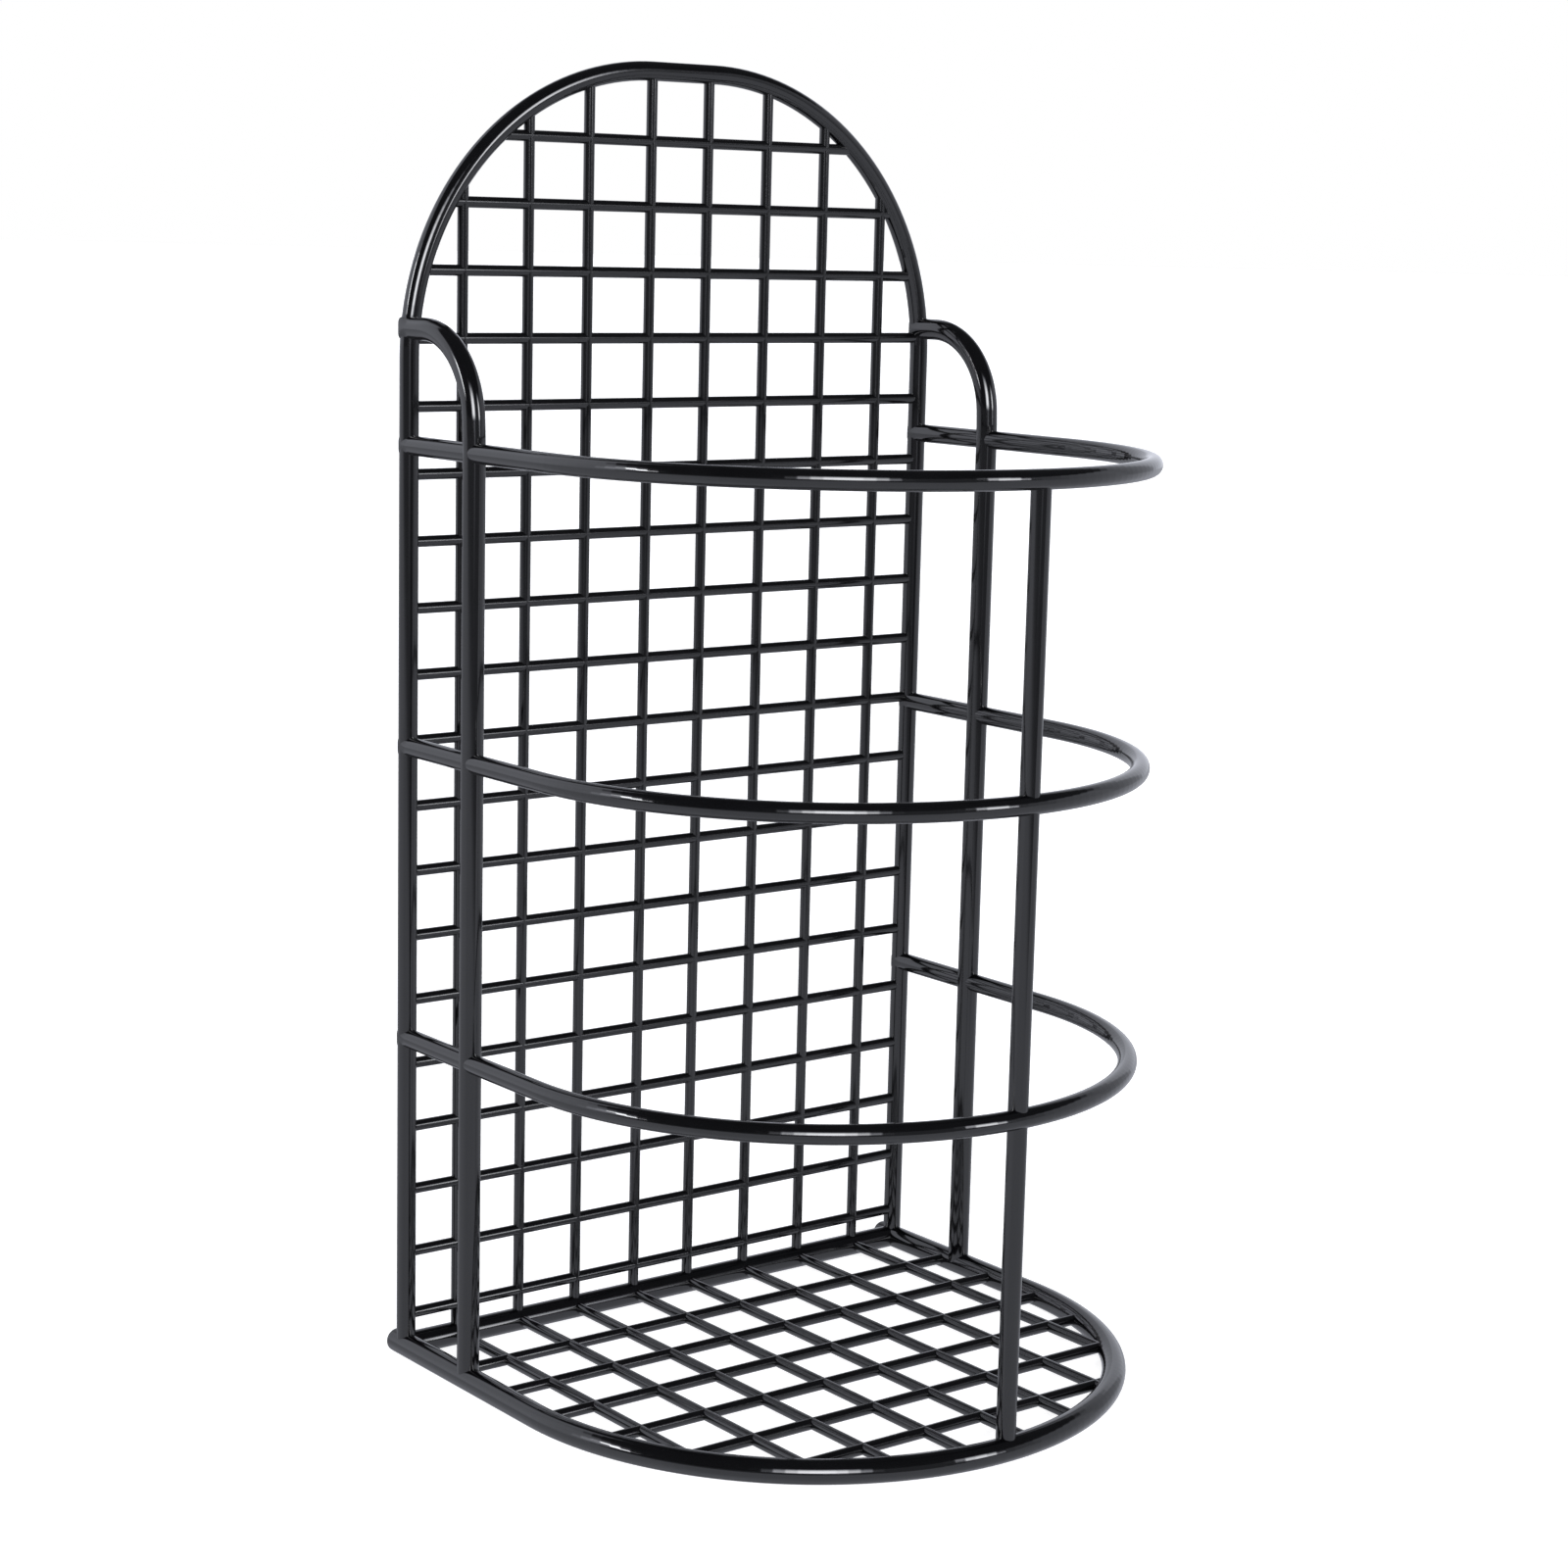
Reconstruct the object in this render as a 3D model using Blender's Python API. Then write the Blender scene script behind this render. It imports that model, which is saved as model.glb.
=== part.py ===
"""Free-standing wine rack of black powder-coated steel rod and wire.

A bent rod frame with a wire grid stands on a D-shaped base with a wire floor. Three D-shaped
hoops at equal heights, two side rods and one front rod close it in front, and the top is open.

Frame: metres, +Z up, -Y is the open front, X = 0 is the plane of symmetry. The origin is at the
centre of the overall plan, on the surface that the rack stands on.
"""

import math

import bmesh
import bpy
from mathutils import Vector

# Thickness of the steel, coating included.
FRAME_DIA = 0.0080
BASE_DIA = 0.0100
SIDE_ROD_DIA = 0.0092
WIRE_DIA = 0.0046

# Plan that the base and every hoop share: two straight arms joined by a half circle in front.
WIDTH = 0.2674
ARM_LENGTH = 0.0993
BASE_TAIL = 0.0085
FRONT_RADIUS = WIDTH / 2
OVERALL_DEPTH = BASE_TAIL + ARM_LENGTH + FRONT_RADIUS + BASE_DIA / 2
BACK_Y = OVERALL_DEPTH / 2 - BASE_TAIL
ARC_Y = BACK_Y - ARM_LENGTH
FRONT_Y = ARC_Y - FRONT_RADIUS

# Heights of the centre lines.
BASE_Z = BASE_DIA / 2
FIRST_HOOP_Z = 0.1390
HOOP_SPACING = 0.1231
HOOP_NAMES = ("lower", "middle", "upper")
HOOP_HEIGHTS = [FIRST_HOOP_Z + HOOP_SPACING * level for level in range(len(HOOP_NAMES))]

# Back frame: two uprights joined by two wide bends and a short flat.
ARCH_RADIUS = 0.1180
ARCH_TOP_Z = 0.5385
ARCH_SPRING_Z = ARCH_TOP_Z - ARCH_RADIUS
ARCH_FLAT = WIDTH - 2 * ARCH_RADIUS

# Side rods rise from the base and bend back to the uprights above the upper hoop. They stand
# slightly inside the line of the hoops, and so does the front rod.
SIDE_ROD_XS = {"left": 0.0003 - WIDTH / 2, "right": WIDTH / 2 - 0.0003}
SIDE_ROD_Y = BACK_Y - 0.0487
SIDE_ROD_TOP_Z = 0.4320
SIDE_ROD_BEND = 0.0363
FRONT_ROD_Y = FRONT_Y + 0.0013

# Back grid: the clear jig gaps between neighbouring verticals, and an even pitch upwards.
FIRST_VERTICAL_X = -0.1088
VERTICAL_GAPS = (0.0315, 0.0295, 0.0315, 0.0295, 0.0315, 0.0315, 0.0325)
VERTICAL_XS = [FIRST_VERTICAL_X + sum(VERTICAL_GAPS[:count]) for count in range(8)]
HORIZONTAL_COUNT = 19
LOWEST_HORIZONTAL_Z = 0.0184
HORIZONTAL_PITCH = 0.0273
HORIZONTAL_ZS = [LOWEST_HORIZONTAL_Z + HORIZONTAL_PITCH * row for row in range(HORIZONTAL_COUNT)]

# Floor grid: depth wires in line with the verticals, and cross wires at an even pitch.
FLOOR_Z = BASE_Z + 0.0005
CROSS_WIRE_COUNT = 6
CROSS_WIRE_PITCH = 0.0322
FIRST_CROSS_WIRE_Y = BACK_Y - 0.0409
CROSS_WIRE_YS = [FIRST_CROSS_WIRE_Y - CROSS_WIRE_PITCH * row for row in range(CROSS_WIRE_COUNT)]

# Clearance between pieces that are welded together on the real rack.
GAP = 0.0003

# Facets: a rod is a regular polygon whose flats lie on its nominal diameter.
ROD_SIDES = 12
WIRE_SIDES = 8
ARC_STEP = math.radians(7.5)
BEND_STEP = math.radians(11.25)

WIRE_HALF_WIDTH = WIRE_DIA / 2 / math.cos(math.pi / WIRE_SIDES)

UP = Vector((0, 0, 1))
RIGHT = Vector((1, 0, 0))
FORWARD = Vector((0, -1, 0))


def clear_scene():
    for obj in list(bpy.data.objects):
        bpy.data.objects.remove(obj, do_unlink=True)


def steel_coating(name, colour, roughness):
    material = bpy.data.materials.new(name)
    material.use_nodes = True
    shader = material.node_tree.nodes["Principled BSDF"]
    shader.inputs["Base Color"].default_value = (*colour, 1.0)
    shader.inputs["Roughness"].default_value = roughness
    shader.inputs["Metallic"].default_value = 0.0
    return material


def arc_points(centre, radius, across, along, sweep, step):
    """Points of an arc that starts at centre + radius * across and turns towards along."""
    count = max(2, round(sweep / step))
    angles = [sweep * i / count for i in range(count + 1)]
    return [centre + radius * (math.cos(a) * across + math.sin(a) * along) for a in angles]


def ring_vertices(points, index, diameter, sides, plane_normal):
    """Corners of the rod's section at one point of its centre line, mitred between segments."""
    before = (points[index] - points[max(index - 1, 0)]).normalized()
    after = (points[min(index + 1, len(points) - 1)] - points[index]).normalized()
    tangent = (before + after).normalized()
    mitre = 1.0 / tangent.dot(after if after.length else before)
    sideways = tangent.cross(plane_normal)
    corner_radius = diameter / 2 / math.cos(math.pi / sides)
    corners = []
    for corner in range(sides):
        angle = 2 * math.pi * (corner + 0.5) / sides
        offset = math.cos(angle) * plane_normal + mitre * math.sin(angle) * sideways
        corners.append(points[index] + corner_radius * offset)
    return corners


def sweep_rod(name, points, diameter, plane_normal, sides=ROD_SIDES):
    """A closed rod along a centre line that lies in one plane."""
    mesh = bmesh.new()
    rings = []
    for i in range(len(points)):
        corners = ring_vertices(points, i, diameter, sides, plane_normal)
        rings.append([mesh.verts.new(corner) for corner in corners])
    for near, far in zip(rings, rings[1:]):
        for i in range(sides):
            j = (i + 1) % sides
            mesh.faces.new((near[i], near[j], far[j], far[i]))
    mesh.faces.new(rings[0])
    mesh.faces.new(rings[-1])
    bmesh.ops.recalc_face_normals(mesh, faces=mesh.faces)
    return object_from(name, mesh)


def object_from(name, mesh):
    data = bpy.data.meshes.new(name)
    mesh.to_mesh(data)
    mesh.free()
    obj = bpy.data.objects.new(name, data)
    bpy.context.scene.collection.objects.link(obj)
    return obj


def hide_cutter(cutter):
    cutter.hide_render = True
    cutter.display_type = "WIRE"
    return cutter


def finish_piece(piece, material):
    piece.data.materials.append(material)
    piece.data.shade_smooth()
    piece.data.set_sharp_from_angle(angle=math.radians(50))
    return piece


def cut(piece, cutters):
    for cutter in cutters:
        boolean = piece.modifiers.new("cut_" + cutter.name, "BOOLEAN")
        boolean.operation = "DIFFERENCE"
        boolean.solver = "EXACT"
        boolean.object = cutter
    return piece


def box_row(name, centres, half_size):
    """A cutter of equal boxes, one around each centre."""
    mesh = bmesh.new()
    for centre in centres:
        corners = bmesh.ops.create_cube(mesh, size=2.0)["verts"]
        for corner in corners:
            corner.co = centre + Vector([c * h for c, h in zip(corner.co, half_size)])
    return hide_cutter(object_from(name, mesh))


def d_path(z, start_y):
    """Left arm, front half circle and right arm at one height, with both arms from start_y."""
    centre = Vector((0, ARC_Y, z))
    front = arc_points(centre, FRONT_RADIUS, -RIGHT, FORWARD, math.pi, ARC_STEP)
    left = Vector((-FRONT_RADIUS, start_y, z))
    right = Vector((FRONT_RADIUS, start_y, z))
    return [left, *front, right]


def back_frame_path():
    left_bend = Vector((-ARCH_FLAT / 2, BACK_Y, ARCH_SPRING_Z))
    right_bend = Vector((ARCH_FLAT / 2, BACK_Y, ARCH_SPRING_Z))
    left_arc = arc_points(left_bend, ARCH_RADIUS, -RIGHT, UP, math.pi / 2, ARC_STEP)
    right_arc = arc_points(right_bend, ARCH_RADIUS, UP, RIGHT, math.pi / 2, ARC_STEP)
    left_foot = Vector((-WIDTH / 2, BACK_Y, BASE_Z))
    right_foot = Vector((WIDTH / 2, BACK_Y, BASE_Z))
    return [left_foot, *left_arc, *right_arc, right_foot]


def side_rod_path(x):
    bend_centre = Vector((x, SIDE_ROD_Y + SIDE_ROD_BEND, SIDE_ROD_TOP_Z - SIDE_ROD_BEND))
    bend = arc_points(bend_centre, SIDE_ROD_BEND, FORWARD, UP, math.pi / 2, BEND_STEP)
    foot = Vector((x, SIDE_ROD_Y, BASE_Z))
    top = Vector((x, BACK_Y, SIDE_ROD_TOP_Z))
    return [foot, *bend, top]


def arch_height(x):
    """Height of the back frame's centre line above a point of the base."""
    beyond_flat = max(0.0, abs(x) - ARCH_FLAT / 2)
    return ARCH_SPRING_Z + math.sqrt(ARCH_RADIUS**2 - beyond_flat**2)


def frame_half_width(z):
    """Half the distance between the back frame's centre lines at one height."""
    above_spring = max(0.0, z - ARCH_SPRING_Z)
    return ARCH_FLAT / 2 + math.sqrt(ARCH_RADIUS**2 - above_spring**2)


def base_front_y(x):
    """The base ring's centre line in front of a point of the back bar."""
    return ARC_Y - math.sqrt(FRONT_RADIUS**2 - x**2)


def base_half_width(y):
    beyond_arms = max(0.0, ARC_Y - y)
    return math.sqrt(FRONT_RADIUS**2 - beyond_arms**2)


def line(start, end):
    return [Vector(start), Vector(end)]


def rod_with_clearance(name, points, diameter, plane_normal):
    """A rod, and the cutter that keeps the pieces welded to it clear of it."""
    cutter = sweep_rod(name + "_clearance", points, diameter + 2 * GAP, plane_normal)
    return sweep_rod(name, points, diameter, plane_normal), hide_cutter(cutter)


def build_base_ring(coating):
    ring_line = d_path(BASE_Z, BACK_Y + BASE_TAIL)
    ring, clearance = rod_with_clearance("base_ring", ring_line, BASE_DIA, UP)
    finish_piece(ring, coating)
    return clearance


def build_back_frame(coating, ring_clearance):
    frame, clearance = rod_with_clearance("back_frame", back_frame_path(), FRAME_DIA, FORWARD)
    finish_piece(cut(frame, [ring_clearance]), coating)
    return clearance


def build_back_bar(coating, ring_clearance, frame_clearance):
    """The bar closes the base ring between its arms, under the back grid."""
    bar_line = line((-WIDTH / 2, BACK_Y, BASE_Z), (WIDTH / 2, BACK_Y, BASE_Z))
    bar, clearance = rod_with_clearance("base_back_bar", bar_line, BASE_DIA, UP)
    finish_piece(cut(bar, [ring_clearance, frame_clearance]), coating)
    return clearance


def build_side_rods(coating, ring_clearance, frame_clearance):
    clearances = {}
    for side, x in SIDE_ROD_XS.items():
        name = f"side_rod_{side}"
        rod, clearances[side] = rod_with_clearance(name, side_rod_path(x), SIDE_ROD_DIA, RIGHT)
        finish_piece(cut(rod, [ring_clearance, frame_clearance]), coating)
    return clearances


def build_hoops(coating, frame_clearance, side_clearances):
    """Each hoop is a front loop between the side rods and two short arms behind them."""
    clearances = []
    for level, z in zip(HOOP_NAMES, HOOP_HEIGHTS):
        clearance_name = f"hoop_{level}_clearance"
        whole_hoop = sweep_rod(clearance_name, d_path(z, BACK_Y), FRAME_DIA + 2 * GAP, UP)
        clearances.append(hide_cutter(whole_hoop))
        loop = sweep_rod(f"hoop_{level}", d_path(z, SIDE_ROD_Y), FRAME_DIA, UP)
        finish_piece(cut(loop, side_clearances.values()), coating)
        for side, x in (("left", -WIDTH / 2), ("right", WIDTH / 2)):
            arm_line = line((x, SIDE_ROD_Y, z), (x, BACK_Y, z))
            arm = sweep_rod(f"hoop_{level}_arm_{side}", arm_line, FRAME_DIA, UP)
            finish_piece(cut(arm, [frame_clearance, side_clearances[side]]), coating)
    return clearances


def build_front_rod(coating, ring_clearance, hoop_clearances):
    """The front rod is cut at the hoops, which run through in front."""
    heights = [BASE_Z, *HOOP_HEIGHTS]
    clearances = [ring_clearance, *hoop_clearances]
    for i, level in enumerate(HOOP_NAMES):
        segment_line = line((0, FRONT_ROD_Y, heights[i]), (0, FRONT_ROD_Y, heights[i + 1]))
        segment = sweep_rod(f"front_rod_{level}", segment_line, FRAME_DIA, FORWARD)
        finish_piece(cut(segment, clearances[i : i + 2]), coating)


def lap_cutter(name, xs, ys, zs, half_size):
    """A cutter with one box at every crossing of the given positions."""
    centres = [Vector((x, y, z)) for x in xs for y in ys for z in zs]
    return box_row(name, centres, half_size)


def build_back_grid(coating, frame_clearance, bar_clearance, side_joints):
    """Verticals and horizontals cross in one plane: each gives up half its thickness there.

    side_joints lists the height and the clearance of each rod that meets the uprights.
    """
    reach = WIRE_HALF_WIDTH + GAP
    lap_depth = WIRE_DIA
    front_y = BACK_Y + GAP / 2 - lap_depth
    rear_y = BACK_Y - GAP / 2 + lap_depth
    lap_size = (reach, lap_depth, reach)
    for number, x in enumerate(VERTICAL_XS, start=1):
        vertical_line = line((x, BACK_Y, BASE_Z), (x, BACK_Y, arch_height(x)))
        wire = sweep_rod(f"grid_vertical_{number}", vertical_line, WIRE_DIA, FORWARD, WIRE_SIDES)
        laps = lap_cutter(f"vertical_laps_{number}", [x], [front_y], HORIZONTAL_ZS, lap_size)
        finish_piece(cut(wire, [frame_clearance, bar_clearance, laps]), coating)
    for number, z in enumerate(HORIZONTAL_ZS, start=1):
        half = frame_half_width(z)
        name = f"grid_horizontal_{number:02d}"
        horizontal_line = line((-half, BACK_Y, z), (half, BACK_Y, z))
        wire = sweep_rod(name, horizontal_line, WIRE_DIA, FORWARD, WIRE_SIDES)
        laps = lap_cutter(f"horizontal_laps_{number}", VERTICAL_XS, [rear_y], [z], lap_size)
        beside = [clearance for height, clearance in side_joints if abs(z - height) < FRAME_DIA]
        finish_piece(cut(wire, [frame_clearance, laps, *beside]), coating)


def build_floor_grid(coating, ring_clearance, bar_clearance):
    """Cross wires pass over the depth wires in laps, so that the floor is one flat plane."""
    reach = WIRE_HALF_WIDTH + GAP
    lap_depth = WIRE_DIA
    upper_z = FLOOR_Z - GAP / 2 + lap_depth
    lower_z = FLOOR_Z + GAP / 2 - lap_depth
    lap_size = (reach, reach, lap_depth)
    for number, x in enumerate(VERTICAL_XS, start=1):
        depth_line = line((x, BACK_Y, FLOOR_Z), (x, base_front_y(x), FLOOR_Z))
        wire = sweep_rod(f"floor_depth_wire_{number}", depth_line, WIRE_DIA, UP, WIRE_SIDES)
        laps = lap_cutter(f"depth_laps_{number}", [x], CROSS_WIRE_YS, [upper_z], lap_size)
        finish_piece(cut(wire, [ring_clearance, bar_clearance, laps]), coating)
    for number, y in enumerate(CROSS_WIRE_YS, start=1):
        half = base_half_width(y)
        cross_line = line((-half, y, FLOOR_Z), (half, y, FLOOR_Z))
        wire = sweep_rod(f"floor_cross_wire_{number}", cross_line, WIRE_DIA, UP, WIRE_SIDES)
        laps = lap_cutter(f"cross_laps_{number}", VERTICAL_XS, [y], [lower_z], lap_size)
        finish_piece(cut(wire, [ring_clearance, laps]), coating)


def main():
    clear_scene()
    rod_coating = steel_coating("black_coated_rod", (0.012, 0.012, 0.014), 0.22)
    wire_coating = steel_coating("black_coated_wire", (0.014, 0.014, 0.016), 0.26)
    ring_clearance = build_base_ring(rod_coating)
    frame_clearance = build_back_frame(rod_coating, ring_clearance)
    bar_clearance = build_back_bar(rod_coating, ring_clearance, frame_clearance)
    side_clearances = build_side_rods(rod_coating, ring_clearance, frame_clearance)
    hoop_clearances = build_hoops(rod_coating, frame_clearance, side_clearances)
    build_front_rod(rod_coating, ring_clearance, hoop_clearances)
    side_joints = [(SIDE_ROD_TOP_Z, clearance) for clearance in side_clearances.values()]
    side_joints += zip(HOOP_HEIGHTS, hoop_clearances)
    build_back_grid(wire_coating, frame_clearance, bar_clearance, side_joints)
    build_floor_grid(wire_coating, ring_clearance, bar_clearance)


main()
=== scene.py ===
"""Looks of the wine rack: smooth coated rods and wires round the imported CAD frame, and the studio.

Metres, +Z up, -Y is the open front, X = 0 is the plane of symmetry.
"""

import math

import bmesh
import bpy
from mathutils import Matrix, Vector


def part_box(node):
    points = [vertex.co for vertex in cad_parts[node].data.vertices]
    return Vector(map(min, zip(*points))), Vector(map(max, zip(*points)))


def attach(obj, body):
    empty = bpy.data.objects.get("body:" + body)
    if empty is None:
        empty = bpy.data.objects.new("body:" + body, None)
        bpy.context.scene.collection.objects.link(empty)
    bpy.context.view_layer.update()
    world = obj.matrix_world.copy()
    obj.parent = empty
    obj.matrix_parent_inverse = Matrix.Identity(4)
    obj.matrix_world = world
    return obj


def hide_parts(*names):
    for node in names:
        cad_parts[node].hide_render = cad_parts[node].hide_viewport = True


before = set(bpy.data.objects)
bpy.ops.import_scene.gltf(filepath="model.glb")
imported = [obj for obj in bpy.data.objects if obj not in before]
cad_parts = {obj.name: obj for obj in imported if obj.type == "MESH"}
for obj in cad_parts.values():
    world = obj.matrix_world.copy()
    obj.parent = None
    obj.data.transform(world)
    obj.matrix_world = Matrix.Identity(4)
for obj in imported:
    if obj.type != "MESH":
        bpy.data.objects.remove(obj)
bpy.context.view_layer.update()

# Dimensions of the part that its boxes don't give.
ARCH_RADIUS = 0.1180
SIDE_ROD_BEND = 0.0363
SIDE_ROD_RADIUS = 0.0046

# The lower end of a side rod's bend runs out into the straight on a much wider curve.
RUN_OUT_RADIUS = 0.19
RUN_OUT = math.radians(4.0)

# Smoothness of the visual rods, and the rounding of their cut ends.
ROD_SEGMENTS = 40
WIRE_SEGMENTS = 28
ARC_STEP = math.radians(2.0)
CAP_RINGS = 5
CUT_ROUNDING = 0.0006
TAIL_ROUNDING = 0.0016

# Rings this close to the ends of a straight keep its shading straight.
HOLD = 0.0004
SHORTEST_HELD = 4 * HOLD

# The welded ends of the hoops and side rods are pressed from round towards square. A section is
# a superellipse: power 2 is a circle, and higher powers are squarer.
ROUND_POWER = 2.0
SQUARE_POWER = 5.0
SQUARE_LENGTH = 0.0055
SQUARE_STATIONS = 6

# How far the hoops and side rods run on behind the uprights' centre line, to their cut ends.
END_BEHIND = 0.0021

UP = Vector((0, 0, 1))
RIGHT = Vector((1, 0, 0))
FORWARD = Vector((0, -1, 0))

LEVELS = ("lower", "middle", "upper")
SIDES = ("left", "right")
VERTICALS = [f"grid_vertical_{number}" for number in range(1, 9)]
HORIZONTALS = [f"grid_horizontal_{number:02d}" for number in range(1, 20)]
DEPTH_WIRES = [f"floor_depth_wire_{number}" for number in range(1, 9)]
CROSS_WIRES = [f"floor_cross_wire_{number}" for number in range(1, 7)]


# ---------------------------------------------------------------- geometry


def middle(node):
    low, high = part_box(node)
    return (low + high) / 2


def size(node):
    low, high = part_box(node)
    return high - low


def arc_points(centre, radius, across, along, sweep):
    """Points of an arc that starts at centre + radius * across and turns towards along."""
    count = max(2, round(sweep / ARC_STEP))
    angles = [sweep * i / count for i in range(count + 1)]
    return [centre + radius * (math.cos(a) * across + math.sin(a) * along) for a in angles]


def held_straights(points):
    """The centre line with extra points near both ends of each straight stretch."""
    held = [points[0]]
    for start, end in zip(points, points[1:]):
        length = (end - start).length
        if length > SHORTEST_HELD:
            along = (end - start) / length
            held += [start + along * HOLD, end - along * HOLD]
        held.append(end)
    return held


def section(centre, tangent, normal, radius, segments, mitre=1.0, power=ROUND_POWER):
    """One ring of a rod, in the plane across tangent; mitre stretches it across a corner."""
    sideways = tangent.cross(normal).normalized()
    corners = []
    for i in range(segments):
        angle = 2 * math.pi * i / segments
        up, side = math.cos(angle), math.sin(angle)
        reach = radius / (abs(up) ** power + abs(side) ** power) ** (1 / power)
        corners.append(centre + reach * (up * normal + mitre * side * sideways))
    return corners


def cap_sections(tip, inward, tangent, normal, radius, segments, rounding, power):
    """Rings of a cut end's rounded edge, from the tip inwards."""
    rings = []
    for i in range(CAP_RINGS + 1):
        angle = math.pi / 2 * i / CAP_RINGS
        inset = rounding * (1 - math.sin(angle))
        ring_radius = radius - rounding * (1 - math.cos(angle))
        centre = tip + inward * inset
        rings.append(section(centre, tangent, normal, ring_radius, segments, power=power))
    return rings[::-1]


def stations(end, inner):
    """Points on the last stretch of a rod, from its inner side outwards."""
    along = (inner - end).normalized() * SQUARE_LENGTH / SQUARE_STATIONS
    return [end + along * step for step in range(SQUARE_STATIONS, 0, -1)]


def tube_sections(points, radius, normal, segments, rounding, squared):
    """Rings of one rod whose centre line lies in the plane across normal, with rounded ends.

    squared says of the first and the last end whether it is pressed towards square.
    """
    first = (points[1] - points[0]).normalized()
    last = (points[-1] - points[-2]).normalized()
    start, end = points[0] + first * rounding, points[-1] - last * rounding
    before = stations(start, points[1])[::-1] if squared[0] else []
    after = stations(end, points[-2]) if squared[1] else []
    line = held_straights([start, *before, *points[1:-1], *after, end])

    def power_at(point):
        """The section's power there, which falls off with the square of the nearness."""
        power = ROUND_POWER
        for tip, pressed in zip((start, end), squared):
            if pressed:
                nearness = max(0.0, 1 - (point - tip).length / SQUARE_LENGTH)
                power = max(power, ROUND_POWER + (SQUARE_POWER - ROUND_POWER) * nearness**2)
        return power

    def cap(tip, inward, tangent, point):
        power = power_at(point)
        return cap_sections(tip, inward, tangent, normal, radius, segments, rounding, power)

    rings = cap(points[0], first, first, start)
    for before_here, here, after_here in zip(line, line[1:], line[2:]):
        incoming = (here - before_here).normalized()
        outgoing = (after_here - here).normalized()
        tangent = (incoming + outgoing).normalized()
        mitre = 1 / tangent.dot(outgoing)
        rings.append(section(here, tangent, normal, radius, segments, mitre, power_at(here)))
    return rings + cap(points[-1], -last, last, end)[::-1]


def rod(
    name, points, radius, normal, material,
    segments=ROD_SEGMENTS, rounding=CUT_ROUNDING, squared=(False, False),
):
    """A closed mesh rod along points, as a new object in the scene."""
    mesh = bmesh.new()
    rings = [
        [mesh.verts.new(corner) for corner in ring]
        for ring in tube_sections(points, radius, normal, segments, rounding, squared)
    ]
    for near, far in zip(rings, rings[1:]):
        for i in range(segments):
            j = (i + 1) % segments
            mesh.faces.new((near[i], near[j], far[j], far[i]))
    mesh.faces.new(rings[0])
    mesh.faces.new(rings[-1])
    bmesh.ops.recalc_face_normals(mesh, faces=mesh.faces)
    data = bpy.data.meshes.new(name)
    mesh.to_mesh(data)
    mesh.free()
    data.shade_smooth()
    data.materials.append(material)
    piece = bpy.data.objects.new(name, data)
    bpy.context.scene.collection.objects.link(piece)
    return piece


def place(piece, slot, *nodes):
    """The piece rides on the one body and stands for the nodes; slot is not used."""
    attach(piece, "root")
    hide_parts(*nodes)


# ---------------------------------------------------------------- materials


# Noise scale and detail of the coating's shade, its gloss and its fine orange peel.
SHADE_NOISE = (60, 4)
GLOSS_NOISE = (45, 3)
PEEL_NOISE = (700, 3)
NOISE_RANGE = (0.3, 0.7)
SHADE_SPREAD = 0.25
GLOSS_SPREAD = (-0.008, 0.012)
PEEL_STRENGTH = 0.012
PEEL_DEPTH = 0.0002
COATING_IOR = 1.5


def coating(name, colour, roughness):
    """Black gloss powder coat with slight variation in shade and gloss."""
    material = bpy.data.materials.new(name)
    material.use_nodes = True
    tree = material.node_tree
    nodes, links = tree.nodes, tree.links
    shader = nodes["Principled BSDF"]
    shader.inputs["Metallic"].default_value = 0.0
    shader.inputs["IOR"].default_value = COATING_IOR

    where = nodes.new("ShaderNodeTexCoord")

    def noise(scale, detail):
        texture = nodes.new("ShaderNodeTexNoise")
        texture.inputs["Scale"].default_value = scale
        texture.inputs["Detail"].default_value = detail
        links.new(where.outputs["Object"], texture.inputs["Vector"])
        return texture.outputs["Fac"]

    def spread(value, low, high):
        remap = nodes.new("ShaderNodeMapRange")
        remap.inputs["From Min"].default_value = NOISE_RANGE[0]
        remap.inputs["From Max"].default_value = NOISE_RANGE[1]
        remap.inputs["To Min"].default_value = low
        remap.inputs["To Max"].default_value = high
        links.new(value, remap.inputs["Value"])
        return remap.outputs["Result"]

    shade = nodes.new("ShaderNodeMix")
    shade.data_type = "RGBA"
    links.new(spread(noise(*SHADE_NOISE), 0.0, 1.0), shade.inputs["Factor"])
    shade.inputs["A"].default_value = (*[c * (1 - SHADE_SPREAD) for c in colour], 1)
    shade.inputs["B"].default_value = (*[c * (1 + SHADE_SPREAD) for c in colour], 1)
    links.new(shade.outputs["Result"], shader.inputs["Base Color"])
    smoothest, dullest = (roughness + change for change in GLOSS_SPREAD)
    links.new(spread(noise(*GLOSS_NOISE), smoothest, dullest), shader.inputs["Roughness"])

    bump = nodes.new("ShaderNodeBump")
    bump.inputs["Strength"].default_value = PEEL_STRENGTH
    bump.inputs["Distance"].default_value = PEEL_DEPTH
    links.new(noise(*PEEL_NOISE), bump.inputs["Height"])
    links.new(bump.outputs["Normal"], shader.inputs["Normal"])
    return material


ROD_COATING = coating("gloss_black_rod_coating", (0.0016, 0.0016, 0.0019), 0.09)
WIRE_COATING = coating("gloss_black_wire_coating", (0.0018, 0.0018, 0.0021), 0.11)


# ---------------------------------------------------------------- pieces

frame_low, frame_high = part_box("back_frame")
FRAME_RADIUS = (frame_high.y - frame_low.y) / 2
BACK_Y = (frame_high.y + frame_low.y) / 2
HALF_WIDTH = frame_high.x - FRAME_RADIUS
ARCH_TOP_Z = frame_high.z - FRAME_RADIUS
ARCH_SPRING_Z = ARCH_TOP_Z - ARCH_RADIUS
ARCH_BEND_X = HALF_WIDTH - ARCH_RADIUS

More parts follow.
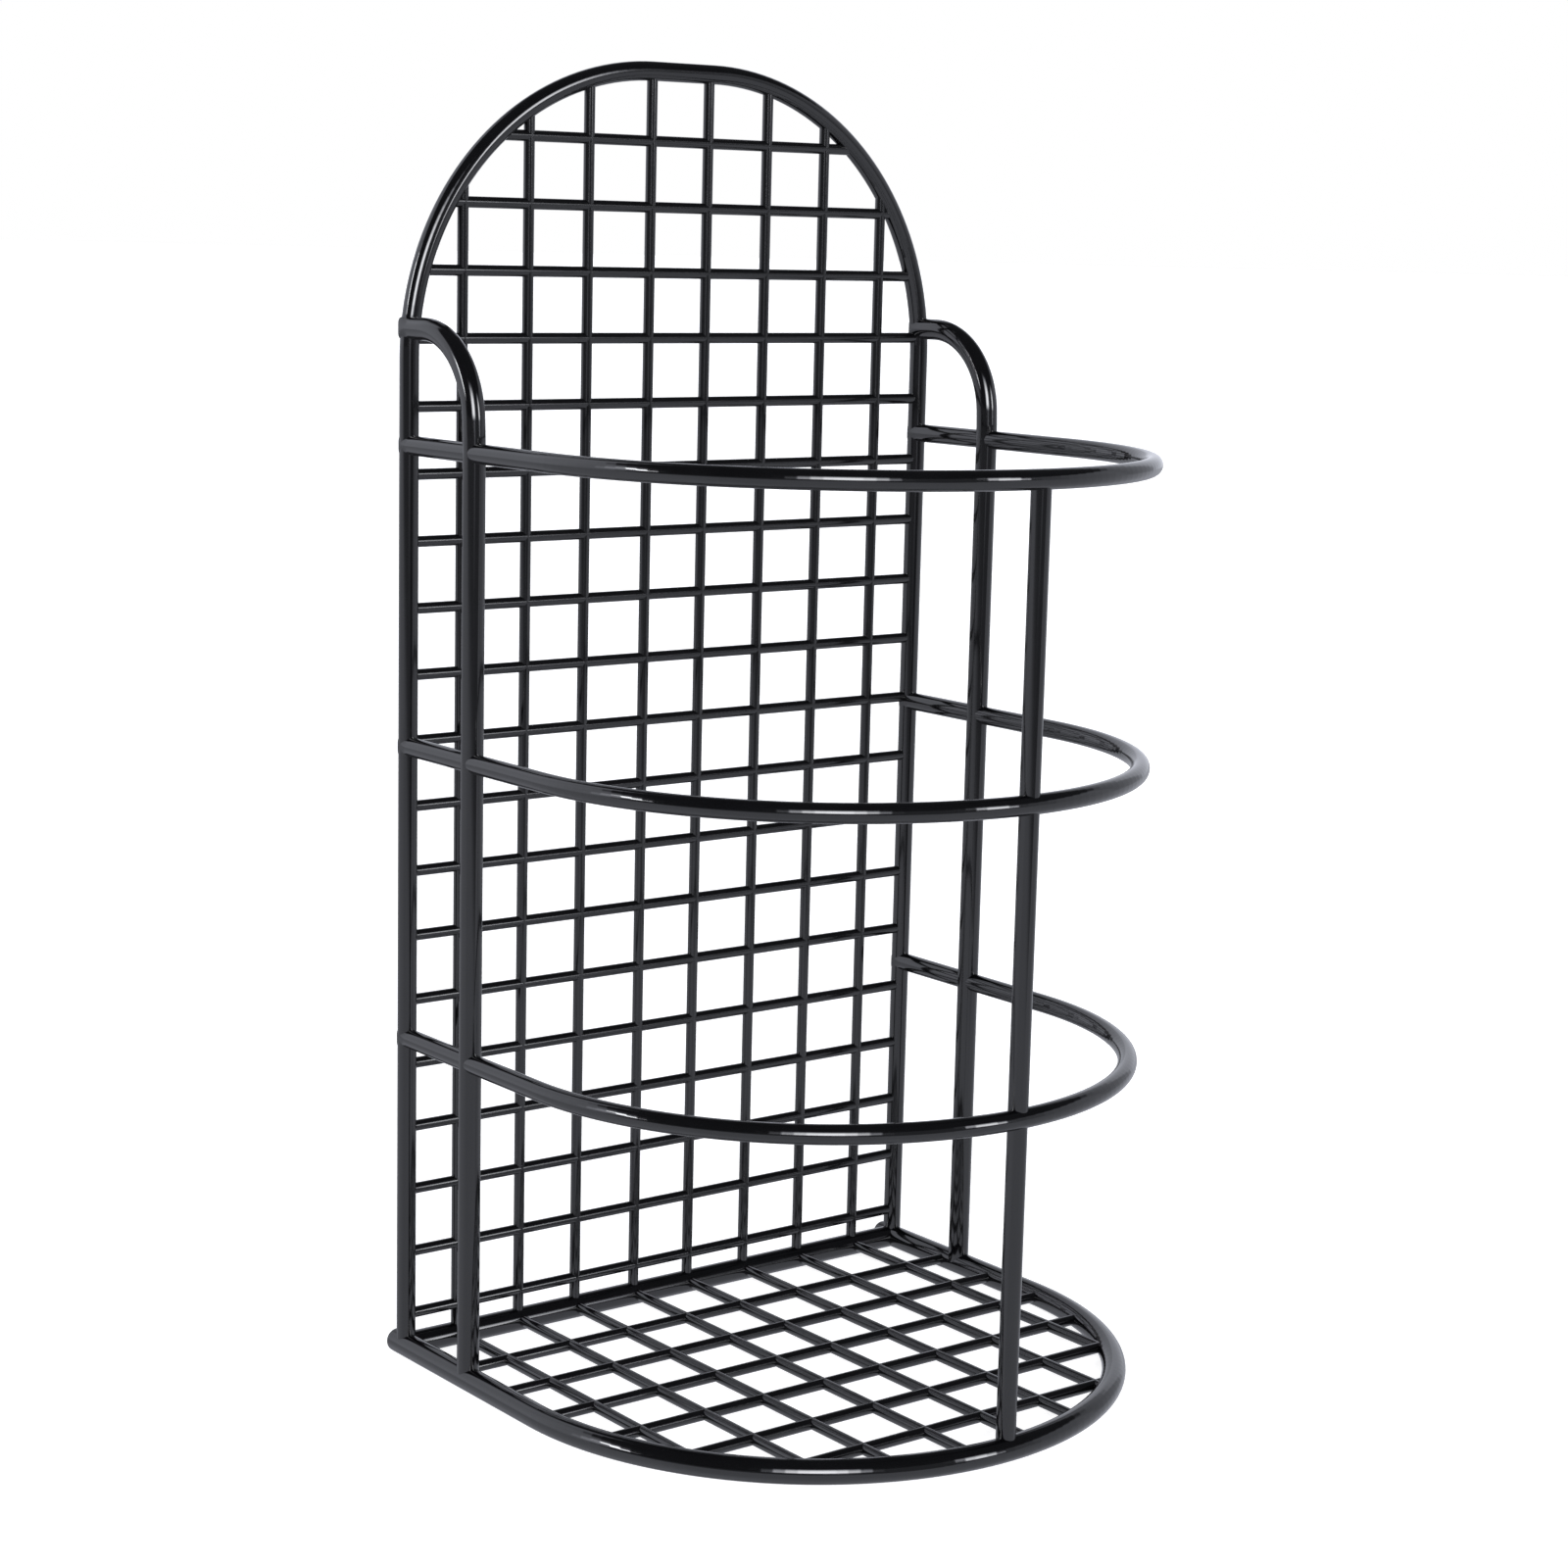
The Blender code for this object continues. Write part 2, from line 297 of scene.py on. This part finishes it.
ring_low, ring_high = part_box("base_ring")
RING_RADIUS = (ring_high.z - ring_low.z) / 2
BASE_Z = (ring_high.z + ring_low.z) / 2
FRONT_Y = ring_low.y + RING_RADIUS
ARC_Y = FRONT_Y + HALF_WIDTH
WIRE_RADIUS = size("grid_vertical_1").x / 2


def d_path(z, start_y):
    """Left arm, front half circle and right arm at one height, with both arms from start_y."""
    front = arc_points(Vector((0, ARC_Y, z)), HALF_WIDTH, -RIGHT, FORWARD, math.pi)
    return [Vector((-HALF_WIDTH, start_y, z)), *front, Vector((HALF_WIDTH, start_y, z))]


def build_back_frame():
    left_bend = Vector((-ARCH_BEND_X, BACK_Y, ARCH_SPRING_Z))
    right_bend = Vector((ARCH_BEND_X, BACK_Y, ARCH_SPRING_Z))
    path = [
        Vector((-HALF_WIDTH, BACK_Y, BASE_Z)),
        *arc_points(left_bend, ARCH_RADIUS, -RIGHT, UP, math.pi / 2),
        *arc_points(right_bend, ARCH_RADIUS, UP, RIGHT, math.pi / 2),
        Vector((HALF_WIDTH, BACK_Y, BASE_Z)),
    ]
    piece = rod("arched_frame_rod", path, FRAME_RADIUS, FORWARD, ROD_COATING)
    place(piece, "coated_rod", "back_frame")


def build_base():
    path = d_path(BASE_Z, ring_high.y)
    ring = rod("base_ring_rod", path, RING_RADIUS, UP, ROD_COATING, rounding=TAIL_ROUNDING)
    place(ring, "coated_rod", "base_ring")
    bar_path = [Vector((-HALF_WIDTH, BACK_Y, BASE_Z)), Vector((HALF_WIDTH, BACK_Y, BASE_Z))]
    bar = rod("back_bar_rod", bar_path, RING_RADIUS, UP, ROD_COATING)
    place(bar, "coated_rod", "base_back_bar")


def build_side_rods():
    for side in SIDES:
        node = f"side_rod_{side}"
        low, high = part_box(node)
        x = (low.x + high.x) / 2
        front_y = low.y + SIDE_ROD_RADIUS
        top_z = high.z - SIDE_ROD_RADIUS
        outward = math.cos(RUN_OUT) * FORWARD + math.sin(RUN_OUT) * UP
        onward = math.cos(RUN_OUT) * UP - math.sin(RUN_OUT) * FORWARD
        to_bend = (RUN_OUT_RADIUS - SIDE_ROD_BEND) * outward
        run_out = Vector((x, front_y + RUN_OUT_RADIUS, top_z - SIDE_ROD_BEND - to_bend.z))
        bend_sweep = math.pi / 2 - RUN_OUT
        path = [
            Vector((x, front_y, BASE_Z)),
            *arc_points(run_out, RUN_OUT_RADIUS, FORWARD, UP, RUN_OUT),
            *arc_points(run_out + to_bend, SIDE_ROD_BEND, outward, onward, bend_sweep)[1:],
            Vector((x, BACK_Y + END_BEHIND, top_z)),
        ]
        name = f"{side}_side_bent_rod"
        piece = rod(name, path, SIDE_ROD_RADIUS, RIGHT, ROD_COATING, squared=(False, True))
        place(piece, "coated_rod", node)


def build_hoops():
    for level in LEVELS:
        node = f"hoop_{level}"
        path = d_path(middle(node).z, BACK_Y + END_BEHIND)
        radius = size(node).z / 2
        piece = rod(f"{level}_hoop_rod", path, radius, UP, ROD_COATING, squared=(True, True))
        place(piece, "coated_rod", node, *[f"{node}_arm_{side}" for side in SIDES])


def build_front_rod():
    nodes = [f"front_rod_{level}" for level in LEVELS]
    y = middle(nodes[0]).y
    path = [Vector((0, y, BASE_Z)), Vector((0, y, middle("hoop_upper").z))]
    piece = rod("front_upright_rod", path, size(nodes[0]).x / 2, FORWARD, ROD_COATING)
    place(piece, "coated_rod", *nodes)


def wire(name, node, start, end, normal):
    """A straight wire between two points that stands for one node."""
    piece = rod(name, [start, end], WIRE_RADIUS, normal, WIRE_COATING, WIRE_SEGMENTS)
    place(piece, "coated_wire", node)


def build_back_grid():
    for number, node in enumerate(VERTICALS, start=1):
        x = middle(node).x
        beyond = max(0.0, abs(x) - ARCH_BEND_X)
        top_z = ARCH_SPRING_Z + math.sqrt(ARCH_RADIUS**2 - beyond**2)
        foot, top = Vector((x, BACK_Y, BASE_Z)), Vector((x, BACK_Y, top_z))
        wire(f"upright_wire_{number}", node, foot, top, FORWARD)
    for number, node in enumerate(HORIZONTALS, start=1):
        z = middle(node).z
        above = max(0.0, z - ARCH_SPRING_Z)
        half = ARCH_BEND_X + math.sqrt(ARCH_RADIUS**2 - above**2)
        left, right = Vector((-half, BACK_Y, z)), Vector((half, BACK_Y, z))
        wire(f"level_wire_{number:02d}", node, left, right, FORWARD)


def build_floor_grid():
    for number, node in enumerate(DEPTH_WIRES, start=1):
        x, z = middle(node).x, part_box(node)[0].z + WIRE_RADIUS
        front_y = ARC_Y - math.sqrt(HALF_WIDTH**2 - x**2)
        wire(f"depth_wire_{number}", node, Vector((x, BACK_Y, z)), Vector((x, front_y, z)), UP)
    for number, node in enumerate(CROSS_WIRES, start=1):
        y, z = middle(node).y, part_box(node)[1].z - WIRE_RADIUS
        beyond = max(0.0, ARC_Y - y)
        half = math.sqrt(HALF_WIDTH**2 - beyond**2)
        wire(f"cross_wire_{number}", node, Vector((-half, y, z)), Vector((half, y, z)), UP)


build_back_frame()
build_base()
build_side_rods()
build_hoops()
build_front_rod()
build_back_grid()
build_floor_grid()


# ---------------------------------------------------------------- studio

CAMERA_PLACE = Vector((-0.7981, -0.98945, 0.4729))
CAMERA_AZIMUTH = math.radians(-37.928)
CAMERA_ELEVATION = math.radians(9.880)
CAMERA_ROLL = math.radians(1.380)
CAMERA_LENS = 72.53
SENSOR = 36.0
CLIPPING = (0.01, 200)

FLOOR_RADIUS = 60.0
FLOOR_SIDES = 96
FLOOR_COLOUR = (0.5, 0.5, 0.505, 1)
FLOOR_ROUGHNESS = 0.95
FLOOR_GLOW = 0.85
FLOOR_LIGHT = 0.7
FLOOR_LIGHT_SPREAD = math.radians(150)

WHITE = (1.0, 1.0, 1.0, 1)
WALL_TINT = (0.97, 1.0, 1.11, 1)
WINDOW_TINT = (0.99, 1.0, 1.04, 1)

# The world shader. Angles are degrees, and brightness 1 is the backdrop's white. A fade gives
# where it starts and ends, and where four numbers are given, the values there.
HALF_TURN = 180.0
FULL_TURN = 360.0
LEAN_PIVOT = 18.0
WALL_FADE = 3.0
TINT_FADE = (1.5, 9.0)
CEILING_FADE = (5.0, -1.0, 0.07, 0.27)

# The ground's brightness, by azimuth away from its front, back and left.
GROUND_FRONT, NEAR_FADE = -40.0, (50.0, 110.0, 1.04, 0.82)
GROUND_BACK, BEHIND_FADE = 155.0, (45.0, 25.0, 1.0, 0.6)
GROUND_LEFT, GLARE_FADE = -110.0, (40.0, 15.0, 0.0, 0.12)

# The elevation of the ground's far edge, and how much lower it is in front.
HORIZON = -3.5
HORIZON_FADE = 1.8
FRONT_FADE = (70.0, 45.0)
FRONT_DROP_BY_AZIMUTH = (-0.08, -9.3)


def build_camera():
    """The camera looks along -back, and its roll turns it about that line."""
    cos_e = math.cos(CAMERA_ELEVATION)
    back = Vector((
        math.sin(CAMERA_AZIMUTH) * cos_e,
        -math.cos(CAMERA_AZIMUTH) * cos_e,
        math.sin(CAMERA_ELEVATION),
    ))
    level = Vector((math.cos(CAMERA_AZIMUTH), math.sin(CAMERA_AZIMUTH), 0))
    above = back.cross(level)
    across = math.cos(CAMERA_ROLL) * level + math.sin(CAMERA_ROLL) * above
    upward = -math.sin(CAMERA_ROLL) * level + math.cos(CAMERA_ROLL) * above
    lens = bpy.data.cameras.new("camera")
    lens.sensor_width = SENSOR
    lens.lens = CAMERA_LENS
    lens.clip_start, lens.clip_end = CLIPPING
    camera = bpy.data.objects.new("camera", lens)
    turn = Matrix((across, upward, back)).transposed().to_4x4()
    camera.matrix_world = Matrix.Translation(CAMERA_PLACE) @ turn
    bpy.context.scene.collection.objects.link(camera)
    bpy.context.scene.camera = camera


def build_floor():
    """A wide pale floor that the camera sees and the gloss doesn't."""
    mesh = bmesh.new()
    bmesh.ops.create_circle(mesh, cap_ends=True, segments=FLOOR_SIDES, radius=FLOOR_RADIUS)
    data = bpy.data.meshes.new("studio_floor")
    mesh.to_mesh(data)
    mesh.free()
    floor = bpy.data.objects.new("studio_floor", data)
    material = bpy.data.materials.new("white_floor")
    material.use_nodes = True
    shader = material.node_tree.nodes["Principled BSDF"]
    shader.inputs["Base Color"].default_value = FLOOR_COLOUR
    shader.inputs["Emission Color"].default_value = WHITE
    shader.inputs["Emission Strength"].default_value = FLOOR_GLOW
    shader.inputs["Roughness"].default_value = FLOOR_ROUGHNESS
    shader.inputs["Specular IOR Level"].default_value = 0.0
    data.materials.append(material)
    floor.visible_glossy = False
    bpy.context.scene.collection.objects.link(floor)


def build_floor_light():
    """A very wide overhead light that whitens the floor and stays out of the gloss."""
    lamp = bpy.data.lights.new("overhead_light", "SUN")
    lamp.energy = FLOOR_LIGHT
    lamp.angle = FLOOR_LIGHT_SPREAD
    light = bpy.data.objects.new("overhead_light", lamp)
    light.visible_glossy = False
    bpy.context.scene.collection.objects.link(light)


class Studio:
    """World shader: pale walls, a dark ceiling and soft boxes, placed by compass angles.

    Azimuth 0 is the open front of the rack and 90 its right side; angles are degrees.
    """

    def __init__(self):
        self.world = bpy.data.worlds.new("studio")
        self.world.use_nodes = True
        self.nodes = self.world.node_tree.nodes
        self.links = self.world.node_tree.links
        where = self.nodes.new("ShaderNodeTexCoord")
        split = self.nodes.new("ShaderNodeSeparateXYZ")
        self.links.new(where.outputs["Generated"], split.inputs["Vector"])
        x, y, z = (split.outputs[axis] for axis in "XYZ")
        forward = self.math("MULTIPLY", y, -1.0)
        self.azimuth = self.math("DEGREES", self.math("ARCTAN2", x, forward))
        self.elevation = self.math("DEGREES", self.math("ARCSINE", z))
        self.total = None

    def math(self, operation, *values):
        node = self.nodes.new("ShaderNodeMath")
        node.operation = operation
        for socket, value in zip(node.inputs, values):
            if isinstance(value, (int, float)):
                socket.default_value = value
            else:
                self.links.new(value, socket)
        return node.outputs[0]

    def step(self, value, start, end, low=0.0, high=1.0):
        """Smooth change from low to high while value goes from start to end."""
        node = self.nodes.new("ShaderNodeMapRange")
        node.interpolation_type = "SMOOTHSTEP"
        limits = {"From Min": start, "From Max": end, "To Min": low, "To Max": high}
        for name, number in limits.items():
            node.inputs[name].default_value = number
        self.links.new(value, node.inputs["Value"])
        return node.outputs["Result"]

    def add(self, value):
        self.total = value if self.total is None else self.math("ADD", self.total, value)

    def cover(self, value):
        """Pale surfaces show where they are brighter than what is behind them."""
        self.total = self.math("MAXIMUM", self.total, value)

    def offset(self, azimuth, lean=0.0):
        """Degrees round the compass from a line that leans as it rises, from -180 to 180."""
        risen = self.math("SUBTRACT", self.elevation, LEAN_PIVOT)
        line = self.math("MULTIPLY_ADD", risen, lean, azimuth)
        apart = self.math("SUBTRACT", self.azimuth, line)
        turned = self.math("ADD", apart, FULL_TURN + HALF_TURN)
        return self.math("SUBTRACT", self.math("MODULO", turned, FULL_TURN), HALF_TURN)

    def away(self, azimuth, lean=0.0):
        """The size of that offset, whichever side it is on."""
        return self.math("ABSOLUTE", self.offset(azimuth, lean))

    def box(self, azimuth, half, bottom, top, strength, lean=0.0):
        """A soft box; half, bottom and top each give where its fade starts and where it ends."""
        across = self.away(azimuth, lean)
        shape = self.step(across, *half)
        for fade in (bottom, top):
            shape = self.math("MULTIPLY", shape, self.step(self.elevation, *fade))
        self.add(self.math("MULTIPLY", shape, strength))

    def wall(self, azimuth, half, top, rise, strength):
        """A pale wall whose top edge rises by rise for each degree of azimuth."""
        across = self.away(azimuth)
        edge = self.math("MULTIPLY_ADD", self.offset(azimuth), rise, top)
        below_edge = self.step(self.math("SUBTRACT", self.elevation, edge), WALL_FADE, -WALL_FADE)
        shape = self.math("MULTIPLY", self.step(across, *half), below_edge)
        self.cover(self.math("MULTIPLY", shape, strength))

    def ground(self):
        """The lit ground, over whatever is behind it, up to a far edge that drops in front.

        It is brightest towards the camera and on the left, and dimmer behind the rack.
        """
        far = self.away(GROUND_FRONT)
        near = self.step(far, *NEAR_FADE)
        behind = self.step(self.away(GROUND_BACK), *BEHIND_FADE)
        glare = self.step(self.away(GROUND_LEFT), *GLARE_FADE)
        lit = self.math("MULTIPLY_ADD", near, behind, glare)
        front = self.step(far, *FRONT_FADE)
        drop = self.math("MULTIPLY_ADD", self.azimuth, *FRONT_DROP_BY_AZIMUTH)
        edge = self.math("MULTIPLY_ADD", front, drop, HORIZON)
        height = self.math("SUBTRACT", self.elevation, edge)
        below_edge = self.step(height, HORIZON_FADE, -HORIZON_FADE)
        over = self.math("MULTIPLY", self.total, self.math("SUBTRACT", 1.0, below_edge))
        self.total = self.math("MULTIPLY_ADD", lit, below_edge, over)

    def finish(self):
        """The camera sees one plain pale backdrop; light and gloss come from the studio."""
        lit, plain = self.nodes["Background"], self.nodes.new("ShaderNodeBackground")
        tint = self.nodes.new("ShaderNodeMix")
        tint.data_type = "RGBA"
        tint.inputs["A"].default_value = WALL_TINT
        tint.inputs["B"].default_value = WINDOW_TINT
        self.links.new(self.step(self.total, *TINT_FADE), tint.inputs["Factor"])
        self.links.new(tint.outputs["Result"], lit.inputs["Color"])
        self.links.new(self.total, lit.inputs["Strength"])
        plain.inputs["Color"].default_value = WHITE
        path, mix = self.nodes.new("ShaderNodeLightPath"), self.nodes.new("ShaderNodeMixShader")
        self.links.new(path.outputs["Is Camera Ray"], mix.inputs[0])
        self.links.new(lit.outputs[0], mix.inputs[1])
        self.links.new(plain.outputs[0], mix.inputs[2])
        self.links.new(mix.outputs[0], self.nodes["World Output"].inputs["Surface"])
        bpy.context.scene.world = self.world


def build_studio():
    """Ceiling, walls, glows and three windows: left, behind the camera and front right."""
    studio = Studio()
    studio.add(studio.step(studio.elevation, *CEILING_FADE))
    studio.wall(-140, (44, 26), 48, -0.4, 1.22)
    studio.wall(126, (26, 14), 27, 0.0, 1.0)
    studio.wall(168, (32, 22), 43, 0.0, 0.76)
    studio.wall(82, (54, 40), 30, 0.2, 0.61)
    studio.wall(66, (26, 14), 27, 0.2, 0.77)
    studio.wall(0, (26, 10), 24, 0.0, 0.27)
    studio.box(-128, (26, 8), (-4, 6), (50, 38), 0.25)
    studio.box(-109, (12, 3), (2, 16), (34, 25), 2.2)
    studio.box(-101.8, (5, 1), (9, 15), (30, 24), 28.0, lean=-0.7)
    studio.box(-30, (20, 3), (2, 10), (42, 18), 20.0)
    studio.box(25.8, (9.5, 2), (0, 7), (31, 13), 15.5)
    studio.box(-25, (8, 3), (-7, -2), (8, 3), 1.0)
    studio.ground()
    studio.finish()


build_camera()
build_floor()
build_floor_light()
build_studio()
bpy.context.scene.view_settings.view_transform = "Standard"
